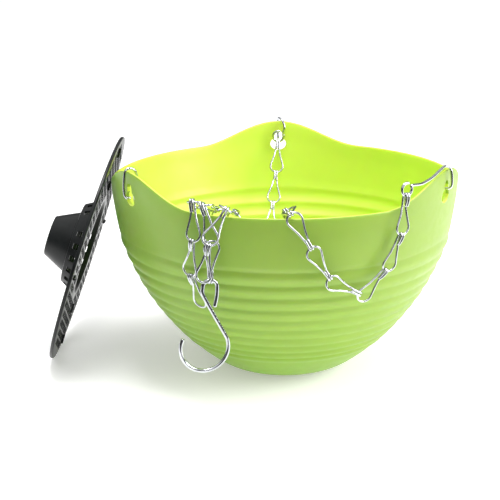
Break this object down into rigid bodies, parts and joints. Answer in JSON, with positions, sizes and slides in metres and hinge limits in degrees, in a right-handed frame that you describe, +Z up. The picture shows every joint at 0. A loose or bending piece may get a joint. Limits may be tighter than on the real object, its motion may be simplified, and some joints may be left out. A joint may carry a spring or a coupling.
{
  "type": "hanging planter",
  "caption": "Round rippled hanging planter bowl with keyhole rim peaks, wire chains on rim hooks, an S-hook and a lattice reservoir insert.",
  "frame": {"origin": "middle of the whole assembly's footprint, on the ground", "axes": "+Z up; -Y is the side where the chains hang over the rim; the insert leans on the -X side"},
  "size_m": [0.3546, 0.3056, 0.1919],
  "materials": {
    "lime_plastic": "semi-matte translucent lime green",
    "black_plastic": "satin black",
    "chain_wire": "bright zinc-plated steel wire",
    "rim_hook_wire": "bright zinc-plated steel wire",
    "s_hook_wire": "bright zinc-plated steel wire"
  },
  "bodies": {
    "planter": {"planter_bowl": "lime_plastic", "rim_hook_left": "rim_hook_wire", "rim_hook_back": "rim_hook_wire", "rim_hook_right": "rim_hook_wire"},
    "reservoir_insert": {"reservoir_insert": "black_plastic"},
    "left_chain_link_01": {"left_chain_link_01": "chain_wire"},
    "left_chain_link_02": {"left_chain_link_02": "chain_wire"},
    "left_chain_link_03": {"left_chain_link_03": "chain_wire"},
    "left_chain_link_04": {"left_chain_link_04": "chain_wire"},
    "left_chain_link_05": {"left_chain_link_05": "chain_wire"},
    "left_chain_link_06": {"left_chain_link_06": "chain_wire"},
    "left_chain_link_07": {"left_chain_link_07": "chain_wire"},
    "left_chain_link_08": {"left_chain_link_08": "chain_wire"},
    "left_chain_link_09": {"left_chain_link_09": "chain_wire"},
    "left_chain_link_10": {"left_chain_link_10": "chain_wire"},
    "left_chain_link_11": {"left_chain_link_11": "chain_wire"},
    "left_chain_link_12": {"left_chain_link_12": "chain_wire"},
    "left_chain_link_13": {"left_chain_link_13": "chain_wire"},
    "left_chain_link_14": {"left_chain_link_14": "chain_wire"},
    "left_chain_link_15": {"left_chain_link_15": "chain_wire"},
    "back_chain_link_01": {"back_chain_link_01": "chain_wire"},
    "back_chain_link_02": {"back_chain_link_02": "chain_wire"},
    "back_chain_link_03": {"back_chain_link_03": "chain_wire"},
    "back_chain_link_04": {"back_chain_link_04": "chain_wire"},
    "back_chain_link_05": {"back_chain_link_05": "chain_wire"},
    "back_chain_link_06": {"back_chain_link_06": "chain_wire"},
    "back_chain_link_07": {"back_chain_link_07": "chain_wire"},
    "back_chain_link_08": {"back_chain_link_08": "chain_wire"},
    "back_chain_link_09": {"back_chain_link_09": "chain_wire"},
    "back_chain_link_10": {"back_chain_link_10": "chain_wire"},
    "back_chain_link_11": {"back_chain_link_11": "chain_wire"},
    "back_chain_link_12": {"back_chain_link_12": "chain_wire"},
    "back_chain_link_13": {"back_chain_link_13": "chain_wire"},
    "back_chain_link_14": {"back_chain_link_14": "chain_wire"},
    "back_chain_link_15": {"back_chain_link_15": "chain_wire"},
    "right_chain_link_01": {"right_chain_link_01": "chain_wire"},
    "right_chain_link_02": {"right_chain_link_02": "chain_wire"},
    "right_chain_link_03": {"right_chain_link_03": "chain_wire"},
    "right_chain_link_04": {"right_chain_link_04": "chain_wire"},
    "right_chain_link_05": {"right_chain_link_05": "chain_wire"},
    "right_chain_link_06": {"right_chain_link_06": "chain_wire"},
    "right_chain_link_07": {"right_chain_link_07": "chain_wire"},
    "right_chain_link_08": {"right_chain_link_08": "chain_wire"},
    "right_chain_link_09": {"right_chain_link_09": "chain_wire"},
    "right_chain_link_10": {"right_chain_link_10": "chain_wire"},
    "right_chain_link_11": {"right_chain_link_11": "chain_wire"},
    "right_chain_link_12": {"right_chain_link_12": "chain_wire"},
    "right_chain_link_13": {"right_chain_link_13": "chain_wire"},
    "right_chain_link_14": {"right_chain_link_14": "chain_wire"},
    "right_chain_link_15": {"right_chain_link_15": "chain_wire"},
    "s_hook": {"s_hook": "s_hook_wire"}
  },
  "joints": [
    {"name": "insert_lift_out", "type": "slide", "parent": "planter", "child": "reservoir_insert", "axis": [0, 0, 1], "range_m": [0, 0.2]},
    {"name": "left_link_01_swing", "type": "hinge", "parent": "planter", "child": "left_chain_link_01", "pos_m": [-0.0841, -0.07004, 0.16605], "axis": [0.6296, -0.764, -0.141], "range_deg": [-1, 2.5]},
    {"name": "left_link_02_swing", "type": "hinge", "parent": "left_chain_link_01", "child": "left_chain_link_02", "pos_m": [-0.08232, -0.06439, 0.13671], "axis": [-0.6498, 0.7585, -0.0482], "range_deg": [-3.6, 1.2]},
    {"name": "left_link_03_swing", "type": "hinge", "parent": "left_chain_link_02", "child": "left_chain_link_03", "pos_m": [-0.07502, -0.06036, 0.1079], "axis": [0.5944, -0.8006, 0.0761], "range_deg": [-0.7, 3.2]},
    {"name": "left_link_04_swing", "type": "hinge", "parent": "left_chain_link_03", "child": "left_chain_link_04", "pos_m": [-0.06328, -0.05458, 0.08091], "axis": [-0.5434, 0.8341, -0.0945], "range_deg": [-2.8, 0.3]},
    {"name": "left_link_05_swing", "type": "hinge", "parent": "left_chain_link_04", "child": "left_chain_link_05", "pos_m": [-0.04501, -0.04627, 0.0587], "axis": [0.3811, -0.9155, 0.1291], "range_deg": [-0.3, 1.9]},
    {"name": "left_link_06_swing", "type": "hinge", "parent": "left_chain_link_05", "child": "left_chain_link_06", "pos_m": [-0.02119, -0.04127, 0.04194], "axis": [-0.0108, 0.9665, -0.2563], "range_deg": [-2.1, 0.3]},
    {"name": "left_link_07_swing", "type": "hinge", "parent": "left_chain_link_06", "child": "left_chain_link_07", "pos_m": [0.00631, -0.04454, 0.04577], "axis": [-0.7925, -0.6089, 0.0354], "range_deg": [-0.3, 0.6]},
    {"name": "left_link_08_swing", "type": "hinge", "parent": "left_chain_link_07", "child": "left_chain_link_08", "pos_m": [0.00924, -0.05518, 0.07024], "axis": [0.5556, -0.1761, 0.8126], "range_deg": [-0.3, 0.6]},
    {"name": "left_link_09_swing", "type": "hinge", "parent": "left_chain_link_08", "child": "left_chain_link_09", "pos_m": [-0.01058, -0.07344, 0.08251], "axis": [-0.8342, 0.0204, -0.5511], "range_deg": [-1, 0.3]},
    {"name": "left_link_10_swing", "type": "hinge", "parent": "left_chain_link_09", "child": "left_chain_link_10", "pos_m": [-0.02395, -0.08718, 0.10529], "axis": [0.9654, 0.0093, 0.2608], "range_deg": [-0.7, 1.2]},
    {"name": "left_link_11_swing", "type": "hinge", "parent": "left_chain_link_10", "child": "left_chain_link_11", "pos_m": [-0.0303, -0.09514, 0.13341], "axis": [-0.9976, 0.0553, -0.0409], "range_deg": [-2.1, 1.2]},
    {"name": "left_link_12_swing", "type": "hinge", "parent": "left_chain_link_11", "child": "left_chain_link_12", "pos_m": [-0.0322, -0.09904, 0.16307], "axis": [0.9937, -0.111, 0.0142], "range_deg": [-8.6, 2.5]},
    {"name": "left_link_13_swing", "type": "hinge", "parent": "left_chain_link_12", "child": "left_chain_link_13", "pos_m": [-0.03652, -0.12665, 0.17375], "axis": [-0.9068, 0.409, -0.1024], "range_deg": [-2.1, 28.3]},
    {"name": "left_link_14_swing", "type": "hinge", "parent": "left_chain_link_13", "child": "left_chain_link_14", "pos_m": [-0.03682, -0.13065, 0.14424], "axis": [0.8575, -0.4663, -0.2175], "range_deg": [-31.5, 3.2]},
    {"name": "left_link_15_swing", "type": "hinge", "parent": "left_chain_link_14", "child": "left_chain_link_15", "pos_m": [-0.03869, -0.12392, 0.11526], "axis": [-0.7892, 0.6135, -0.0281], "range_deg": [-8.6, 28.3]},
    {"name": "back_link_01_swing", "type": "hinge", "parent": "planter", "child": "back_chain_link_01", "pos_m": [0.02588, 0.14051, 0.166], "axis": [-0.9984, 0.0174, 0.0541], "range_deg": [-0.4, 0.4]},
    {"name": "back_link_02_swing", "type": "hinge", "parent": "back_chain_link_01", "child": "back_chain_link_02", "pos_m": [0.02401, 0.12752, 0.13903], "axis": [0.9959, -0.0493, -0.0759], "range_deg": [-0.4, 0.4]},
    {"name": "back_link_03_swing", "type": "hinge", "parent": "back_chain_link_02", "child": "back_chain_link_03", "pos_m": [0.02122, 0.11233, 0.11331], "axis": [-0.9946, 0.0627, 0.083], "range_deg": [-0.4, 0.4]},
    {"name": "back_link_04_swing", "type": "hinge", "parent": "back_chain_link_03", "child": "back_chain_link_04", "pos_m": [0.01799, 0.09435, 0.08952], "axis": [0.9923, -0.0838, -0.0913], "range_deg": [-0.4, 0.4]},
    {"name": "back_link_05_swing", "type": "hinge", "parent": "back_chain_link_04", "child": "back_chain_link_05", "pos_m": [0.01413, 0.07279, 0.06902], "axis": [-0.9888, 0.1116, 0.0991], "range_deg": [-0.4, 0.4]},
    {"name": "back_link_06_swing", "type": "hinge", "parent": "back_chain_link_05", "child": "back_chain_link_06", "pos_m": [0.00955, 0.04714, 0.05416], "axis": [0.9838, -0.1452, -0.1048], "range_deg": [-0.4, 0.4]},
    {"name": "back_link_07_swing", "type": "hinge", "parent": "back_chain_link_06", "child": "back_chain_link_07", "pos_m": [0.00442, 0.01821, 0.04812], "axis": [-0.9773, 0.1828, 0.1069], "range_deg": [-0.4, 0.4]},
    {"name": "back_link_08_swing", "type": "hinge", "parent": "back_chain_link_07", "child": "back_chain_link_08", "pos_m": [-0.00073, -0.01097, 0.05282], "axis": [0.9864, -0.1644, 0.007], "range_deg": [-0.8, 0.4]},
    {"name": "back_link_09_swing", "type": "hinge", "parent": "back_chain_link_08", "child": "back_chain_link_09", "pos_m": [-0.00521, -0.03716, 0.06674], "axis": [-0.9912, 0.0867, -0.0998], "range_deg": [-0.4, 0.8]},
    {"name": "back_link_10_swing", "type": "hinge", "parent": "back_chain_link_09", "child": "back_chain_link_10", "pos_m": [-0.00905, -0.05921, 0.08672], "axis": [0.9935, -0.0559, 0.0993], "range_deg": [-1.2, 0.8]},
    {"name": "back_link_11_swing", "type": "hinge", "parent": "back_chain_link_10", "child": "back_chain_link_11", "pos_m": [-0.01233, -0.07759, 0.11021], "axis": [-0.9953, 0.0324, -0.0912], "range_deg": [-1.2, 1.6]},
    {"name": "back_link_12_swing", "type": "hinge", "parent": "back_chain_link_11", "child": "back_chain_link_12", "pos_m": [-0.01509, -0.09306, 0.13576], "axis": [0.9964, -0.0149, 0.083], "range_deg": [-2.4, 3.2]},
    {"name": "back_link_13_swing", "type": "hinge", "parent": "back_chain_link_12", "child": "back_chain_link_13", "pos_m": [-0.01926, -0.10615, 0.16215], "axis": [-0.9397, 0.2116, -0.2686], "range_deg": [-4, 4]},
    {"name": "back_link_14_swing", "type": "hinge", "parent": "back_chain_link_13", "child": "back_chain_link_14", "pos_m": [-0.02831, -0.13291, 0.17225], "axis": [0.8934, -0.3488, 0.2831], "range_deg": [-4, 4]},
    {"name": "back_link_15_swing", "type": "hinge", "parent": "back_chain_link_14", "child": "back_chain_link_15", "pos_m": [-0.02162, -0.13663, 0.14507], "axis": [-0.8934, 0.3488, -0.2831], "range_deg": [-4, 4]},
    {"name": "right_link_01_swing", "type": "hinge", "parent": "planter", "child": "right_chain_link_01", "pos_m": [0.12347, -0.11658, 0.17552], "axis": [-0.7973, -0.5931, 0.1119], "range_deg": [-0.8, 0.8]},
    {"name": "right_link_02_swing", "type": "hinge", "parent": "right_chain_link_01", "child": "right_chain_link_02", "pos_m": [0.12, -0.11916, 0.1459], "axis": [0.791, 0.5326, -0.3011], "range_deg": [-0.8, 0.8]},
    {"name": "right_link_03_swing", "type": "hinge", "parent": "right_chain_link_02", "child": "right_chain_link_03", "pos_m": [0.10827, -0.12075, 0.11867], "axis": [-0.662, -0.3804, 0.6458], "range_deg": [-0.8, 1.6]},
    {"name": "right_link_04_swing", "type": "hinge", "parent": "right_chain_link_03", "child": "right_chain_link_04", "pos_m": [0.0881, -0.12661, 0.10251], "axis": [-0.4157, -0.1644, -0.8945], "range_deg": [-4, 0.8]},
    {"name": "right_link_05_swing", "type": "hinge", "parent": "right_chain_link_04", "child": "right_chain_link_05", "pos_m": [0.06558, -0.13744, 0.11798], "axis": [0.8143, 0.2244, 0.5352], "range_deg": [-1.2, 4]},
    {"name": "right_link_06_swing", "type": "hinge", "parent": "right_chain_link_05", "child": "right_chain_link_06", "pos_m": [0.05152, -0.14512, 0.14333], "axis": [-0.8683, -0.1234, -0.4805], "range_deg": [-4, 1.6]},
    {"name": "right_link_07_swing", "type": "hinge", "parent": "right_chain_link_06", "child": "right_chain_link_07", "pos_m": [0.03648, -0.14534, 0.16925], "axis": [0.8704, 0.1106, 0.4798], "range_deg": [-4, 3.2]},
    {"name": "right_link_08_swing", "type": "hinge", "parent": "right_chain_link_07", "child": "right_chain_link_08", "pos_m": [0.03268, -0.11675, 0.1638], "axis": [-0.7936, -0.5152, -0.3237], "range_deg": [-3.2, 4]},
    {"name": "right_link_09_swing", "type": "hinge", "parent": "right_chain_link_08", "child": "right_chain_link_09", "pos_m": [0.03603, -0.11024, 0.13558], "axis": [0.7934, 0.5314, -0.2969], "range_deg": [-4, 2.4]},
    {"name": "right_link_10_swing", "type": "hinge", "parent": "right_chain_link_09", "child": "right_chain_link_10", "pos_m": [0.02438, -0.1144, 0.10973], "axis": [-0.3663, -0.4216, 0.8295], "range_deg": [-2.4, 4]},
    {"name": "right_link_11_swing", "type": "hinge", "parent": "right_chain_link_10", "child": "right_chain_link_11", "pos_m": [-0.00179, -0.10649, 0.10797], "axis": [-0.5852, 0.6089, -0.5356], "range_deg": [-3.2, 4]},
    {"name": "right_link_12_swing", "type": "hinge", "parent": "right_chain_link_11", "child": "right_chain_link_12", "pos_m": [-0.01255, -0.1016, 0.13342], "axis": [0.7999, -0.4725, -0.3699], "range_deg": [-4, 3.2]},
    {"name": "right_link_13_swing", "type": "hinge", "parent": "right_chain_link_12", "child": "right_chain_link_13", "pos_m": [-0.00417, -0.11035, 0.16082], "axis": [-0.8245, 0.411, 0.389], "range_deg": [-4.8, 35]},
    {"name": "right_link_14_swing", "type": "hinge", "parent": "right_chain_link_13", "child": "right_chain_link_14", "pos_m": [-0.01068, -0.13758, 0.17066], "axis": [0.8795, -0.1553, -0.4498], "range_deg": [-35, 4]},
    {"name": "right_link_15_swing", "type": "hinge", "parent": "right_chain_link_14", "child": "right_chain_link_15", "pos_m": [-0.0233, -0.14903, 0.14623], "axis": [-0.9704, 0.15, 0.1893], "range_deg": [-8, 35]},
    {"name": "s_hook_swing", "type": "hinge", "parent": "back_chain_link_15", "child": "s_hook", "pos_m": [-0.02307, -0.13701, 0.11641], "axis": [0.9646, 0.2585, -0.0523], "range_deg": [-60, 20]}
  ]
}
